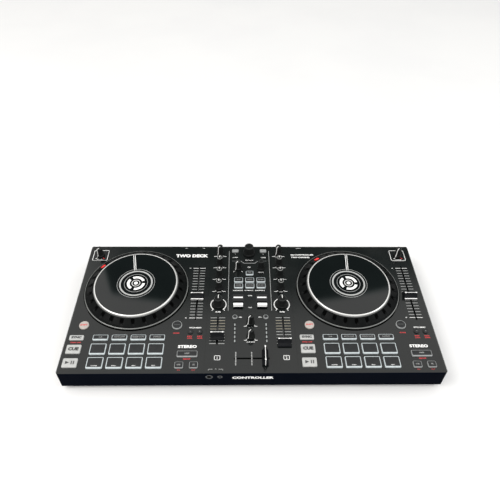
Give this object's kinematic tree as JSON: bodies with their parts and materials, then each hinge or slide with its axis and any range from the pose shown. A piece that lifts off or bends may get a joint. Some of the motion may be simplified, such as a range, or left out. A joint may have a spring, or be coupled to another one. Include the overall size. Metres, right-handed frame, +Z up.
{
  "type": "dj controller",
  "caption": "Flat two-deck music controller with jog wheels, pads, a centre mixer of knobs and faders, and sockets front and rear.",
  "frame": {"origin": "under the middle of the body, on the surface that the rubber feet rest on", "axes": "+X to the right, +Y to the rear where the sockets are, +Z up"},
  "size_m": [0.544, 0.25, 0.0593],
  "materials": {
    "case_top": "fine matt texture, charcoal black",
    "case_bottom": "satin black",
    "board": "green solder mask",
    "pot_metal": "plated steel",
    "bearing_metal": "turned steel",
    "socket_metal": "nickel plate",
    "socket_plastic": "black plastic",
    "foot_rubber": "soft matt rubber",
    "screw_steel": "zinc plate",
    "meter_lens": "milky lens",
    "jog_grip": "satin black grip",
    "jog_gloss": "gloss black",
    "fader_cap": "satin black",
    "knob_rubber": "soft-touch black",
    "shaft_steel": "plated steel",
    "paddle_white": "satin white",
    "white_key": "milky white rubber",
    "dark_key": "matt charcoal with milky edge"
  },
  "bodies": {
    "root": {"top_shell": "case_top", "bottom_shell": "case_bottom", "circuit_boards": "board", "slide_pots": "pot_metal", "rotary_pots": "pot_metal", "jog_bearings": "bearing_metal", "usb_socket": "socket_metal", "rear_sockets": "socket_plastic", "headphone_sockets": "socket_plastic", "rubber_feet": "foot_rubber", "case_screws": "screw_steel", "meter_windows": "meter_lens"},
    "jog_wheel_a": {"jog_platter_a": "jog_grip", "jog_top_plate_a": "jog_gloss"},
    "jog_wheel_b": {"jog_platter_b": "jog_grip", "jog_top_plate_b": "jog_gloss"},
    "pitch_fader_a": {"pitch_fader_a": "fader_cap"},
    "pitch_fader_b": {"pitch_fader_b": "fader_cap"},
    "channel_fader_1": {"channel_fader_1": "fader_cap"},
    "channel_fader_2": {"channel_fader_2": "fader_cap"},
    "crossfader": {"crossfader": "fader_cap"},
    "level_knob_1": {"level_knob_1": "knob_rubber"},
    "high_knob_1": {"high_knob_1": "knob_rubber"},
    "mid_knob_1": {"mid_knob_1": "knob_rubber"},
    "low_knob_1": {"low_knob_1": "knob_rubber"},
    "filter_knob_1": {"filter_knob_1": "knob_rubber"},
    "level_knob_2": {"level_knob_2": "knob_rubber"},
    "high_knob_2": {"high_knob_2": "knob_rubber"},
    "mid_knob_2": {"mid_knob_2": "knob_rubber"},
    "low_knob_2": {"low_knob_2": "knob_rubber"},
    "filter_knob_2": {"filter_knob_2": "knob_rubber"},
    "wet_knob": {"wet_knob": "knob_rubber"},
    "beats_knob": {"beats_knob": "knob_rubber"},
    "cue_mix_knob": {"cue_mix_knob": "knob_rubber"},
    "cue_gain_knob": {"cue_gain_knob": "knob_rubber"},
    "mic_gain_knob": {"mic_gain_knob": "knob_rubber"},
    "master_gain_knob": {"master_gain_knob": "knob_rubber"},
    "browse_shaft": {"browse_shaft": "shaft_steel"},
    "browse_knob": {"browse_knob": "knob_rubber"},
    "fx_paddle_1": {"fx_paddle_1": "paddle_white"},
    "fx_paddle_2": {"fx_paddle_2": "paddle_white"},
    "play_key_a": {"play_key_a": "white_key"},
    "cue_key_a": {"cue_key_a": "white_key"},
    "sync_key_a": {"sync_key_a": "white_key"},
    "shift_key_a": {"shift_key_a": "white_key"},
    "scratch_key_a": {"scratch_key_a": "dark_key"},
    "pad_keys_a": {"pad_keys_a": "dark_key"},
    "mode_keys_a": {"mode_keys_a": "dark_key"},
    "loop_keys_a": {"loop_keys_a": "dark_key"},
    "play_key_b": {"play_key_b": "white_key"},
    "cue_key_b": {"cue_key_b": "white_key"},
    "sync_key_b": {"sync_key_b": "white_key"},
    "shift_key_b": {"shift_key_b": "white_key"},
    "scratch_key_b": {"scratch_key_b": "dark_key"},
    "pad_keys_b": {"pad_keys_b": "dark_key"},
    "mode_keys_b": {"mode_keys_b": "dark_key"},
    "loop_keys_b": {"loop_keys_b": "dark_key"},
    "fx_keys": {"fx_keys": "dark_key"},
    "load_keys": {"load_keys": "dark_key"},
    "pfl_keys": {"pfl_keys": "dark_key"}
  },
  "joints": [
    {"name": "jog_spin_a", "type": "hinge", "parent": "root", "child": "jog_wheel_a", "pos_m": [-0.1815, 0.0297, 0], "axis": [0, 0, 1], "continuous": true},
    {"name": "jog_spin_b", "type": "hinge", "parent": "root", "child": "jog_wheel_b", "pos_m": [0.1535, 0.0297, 0], "axis": [0, 0, 1], "continuous": true},
    {"name": "pitch_slide_a", "type": "slide", "parent": "root", "child": "pitch_fader_a", "axis": [0, 1, 0], "range_m": [-0.0406, 0.0594]},
    {"name": "pitch_slide_b", "type": "slide", "parent": "root", "child": "pitch_fader_b", "axis": [0, 1, 0], "range_m": [-0.0406, 0.0594]},
    {"name": "channel_slide_1", "type": "slide", "parent": "root", "child": "channel_fader_1", "axis": [0, 1, 0], "range_m": [-0.012, 0.033]},
    {"name": "channel_slide_2", "type": "slide", "parent": "root", "child": "channel_fader_2", "axis": [0, 1, 0], "range_m": [-0.0005, 0.0445]},
    {"name": "crossfader_slide", "type": "slide", "parent": "root", "child": "crossfader", "axis": [1, 0, 0], "range_m": [-0.0415, 0.0035]},
    {"name": "level_1_turn", "type": "hinge", "parent": "root", "child": "level_knob_1", "pos_m": [-0.0515, 0.108, 0], "axis": [0, 0, -1], "range_deg": [0, 280]},
    {"name": "high_1_turn", "type": "hinge", "parent": "root", "child": "high_knob_1", "pos_m": [-0.0515, 0.082, 0], "axis": [0, 0, -1], "range_deg": [-140, 140]},
    {"name": "mid_1_turn", "type": "hinge", "parent": "root", "child": "mid_knob_1", "pos_m": [-0.0515, 0.0565, 0], "axis": [0, 0, -1], "range_deg": [-140, 140]},
    {"name": "low_1_turn", "type": "hinge", "parent": "root", "child": "low_knob_1", "pos_m": [-0.0515, 0.031, 0], "axis": [0, 0, -1], "range_deg": [-140, 140]},
    {"name": "filter_1_turn", "type": "hinge", "parent": "root", "child": "filter_knob_1", "pos_m": [-0.0515, -0.003, 0], "axis": [0, 0, -1], "range_deg": [-140, 140]},
    {"name": "level_2_turn", "type": "hinge", "parent": "root", "child": "level_knob_2", "pos_m": [0.0465, 0.108, 0], "axis": [0, 0, -1], "range_deg": [0, 280]},
    {"name": "high_2_turn", "type": "hinge", "parent": "root", "child": "high_knob_2", "pos_m": [0.0465, 0.082, 0], "axis": [0, 0, -1], "range_deg": [-140, 140]},
    {"name": "mid_2_turn", "type": "hinge", "parent": "root", "child": "mid_knob_2", "pos_m": [0.0465, 0.0565, 0], "axis": [0, 0, -1], "range_deg": [-140, 140]},
    {"name": "low_2_turn", "type": "hinge", "parent": "root", "child": "low_knob_2", "pos_m": [0.0465, 0.031, 0], "axis": [0, 0, -1], "range_deg": [-140, 140]},
    {"name": "filter_2_turn", "type": "hinge", "parent": "root", "child": "filter_knob_2", "pos_m": [0.0465, -0.003, 0], "axis": [0, 0, -1], "range_deg": [-140, 140]},
    {"name": "wet_turn", "type": "hinge", "parent": "root", "child": "wet_knob", "pos_m": [-0.0215, 0.0735, 0], "axis": [0, 0, -1], "range_deg": [0, 280]},
    {"name": "beats_turn", "type": "hinge", "parent": "root", "child": "beats_knob", "pos_m": [0.0165, 0.0735, 0], "axis": [0, 0, -1], "continuous": true},
    {"name": "cue_mix_turn", "type": "hinge", "parent": "root", "child": "cue_mix_knob", "pos_m": [-0.0025, -0.0375, 0], "axis": [0, 0, -1], "range_deg": [0, 280]},
    {"name": "cue_gain_turn", "type": "hinge", "parent": "root", "child": "cue_gain_knob", "pos_m": [-0.0025, -0.0625, 0], "axis": [0, 0, -1], "range_deg": [0, 280]},
    {"name": "mic_gain_turn", "type": "hinge", "parent": "root", "child": "mic_gain_knob", "pos_m": [-0.2527, 0.103, 0], "axis": [0, 0, -1], "range_deg": [0, 280]},
    {"name": "master_gain_turn", "type": "hinge", "parent": "root", "child": "master_gain_knob", "pos_m": [0.2497, 0.103, 0], "axis": [0, 0, -1], "range_deg": [0, 280]},
    {"name": "browse_push", "type": "slide", "parent": "root", "child": "browse_shaft", "axis": [0, 0, -1], "range_m": [0, 0.0008], "stiffness_N_per_m": 1500, "springref_m": -0.0006},
    {"name": "browse_turn", "type": "hinge", "parent": "browse_shaft", "child": "browse_knob", "pos_m": [-0.003, 0.1075, 0], "axis": [0, 0, -1], "continuous": true},
    {"name": "fx_paddle_tilt_1", "type": "hinge", "parent": "root", "child": "fx_paddle_1", "pos_m": [-0.021, -0.007, 0.033], "axis": [-1, 0, 0], "range_deg": [-10, 18], "stiffness_Nm_per_rad": 0.1},
    {"name": "fx_paddle_tilt_2", "type": "hinge", "parent": "root", "child": "fx_paddle_2", "pos_m": [0.016, -0.007, 0.033], "axis": [-1, 0, 0], "range_deg": [-10, 18], "stiffness_Nm_per_rad": 0.1},
    {"name": "play_a_press", "type": "slide", "parent": "root", "child": "play_key_a", "axis": [0, 0, -1], "range_m": [0, 0.0012], "stiffness_N_per_m": 800, "springref_m": -0.0006},
    {"name": "cue_a_press", "type": "slide", "parent": "root", "child": "cue_key_a", "axis": [0, 0, -1], "range_m": [0, 0.0012], "stiffness_N_per_m": 800, "springref_m": -0.0006},
    {"name": "sync_a_press", "type": "slide", "parent": "root", "child": "sync_key_a", "axis": [0, 0, -1], "range_m": [0, 0.0012], "stiffness_N_per_m": 800, "springref_m": -0.0006},
    {"name": "shift_a_press", "type": "slide", "parent": "root", "child": "shift_key_a", "axis": [0, 0, -1], "range_m": [0, 0.0012], "stiffness_N_per_m": 800, "springref_m": -0.0006},
    {"name": "scratch_a_press", "type": "slide", "parent": "root", "child": "scratch_key_a", "axis": [0, 0, -1], "range_m": [0, 0.0012], "stiffness_N_per_m": 800, "springref_m": -0.0006},
    {"name": "pad_a_press", "type": "slide", "parent": "root", "child": "pad_keys_a", "axis": [0, 0, -1], "range_m": [0, 0.0012], "stiffness_N_per_m": 3600, "springref_m": -0.0006},
    {"name": "mode_a_press", "type": "slide", "parent": "root", "child": "mode_keys_a", "axis": [0, 0, -1], "range_m": [0, 0.0012], "stiffness_N_per_m": 1800, "springref_m": -0.0006},
    {"name": "loop_a_press", "type": "slide", "parent": "root", "child": "loop_keys_a", "axis": [0, 0, -1], "range_m": [0, 0.0012], "stiffness_N_per_m": 2250, "springref_m": -0.0006},
    {"name": "play_b_press", "type": "slide", "parent": "root", "child": "play_key_b", "axis": [0, 0, -1], "range_m": [0, 0.0012], "stiffness_N_per_m": 800, "springref_m": -0.0006},
    {"name": "cue_b_press", "type": "slide", "parent": "root", "child": "cue_key_b", "axis": [0, 0, -1], "range_m": [0, 0.0012], "stiffness_N_per_m": 800, "springref_m": -0.0006},
    {"name": "sync_b_press", "type": "slide", "parent": "root", "child": "sync_key_b", "axis": [0, 0, -1], "range_m": [0, 0.0012], "stiffness_N_per_m": 800, "springref_m": -0.0006},
    {"name": "shift_b_press", "type": "slide", "parent": "root", "child": "shift_key_b", "axis": [0, 0, -1], "range_m": [0, 0.0012], "stiffness_N_per_m": 800, "springref_m": -0.0006},
    {"name": "scratch_b_press", "type": "slide", "parent": "root", "child": "scratch_key_b", "axis": [0, 0, -1], "range_m": [0, 0.0012], "stiffness_N_per_m": 800, "springref_m": -0.0006},
    {"name": "pad_b_press", "type": "slide", "parent": "root", "child": "pad_keys_b", "axis": [0, 0, -1], "range_m": [0, 0.0012], "stiffness_N_per_m": 3600, "springref_m": -0.0006},
    {"name": "mode_b_press", "type": "slide", "parent": "root", "child": "mode_keys_b", "axis": [0, 0, -1], "range_m": [0, 0.0012], "stiffness_N_per_m": 1800, "springref_m": -0.0006},
    {"name": "loop_b_press", "type": "slide", "parent": "root", "child": "loop_keys_b", "axis": [0, 0, -1], "range_m": [0, 0.0012], "stiffness_N_per_m": 2250, "springref_m": -0.0006},
    {"name": "fx_press", "type": "slide", "parent": "root", "child": "fx_keys", "axis": [0, 0, -1], "range_m": [0, 0.0012], "stiffness_N_per_m": 3150, "springref_m": -0.0006},
    {"name": "load_press", "type": "slide", "parent": "root", "child": "load_keys", "axis": [0, 0, -1], "range_m": [0, 0.0012], "stiffness_N_per_m": 900, "springref_m": -0.0006},
    {"name": "pfl_press", "type": "slide", "parent": "root", "child": "pfl_keys", "axis": [0, 0, -1], "range_m": [0, 0.0012], "stiffness_N_per_m": 900, "springref_m": -0.0006}
  ]
}
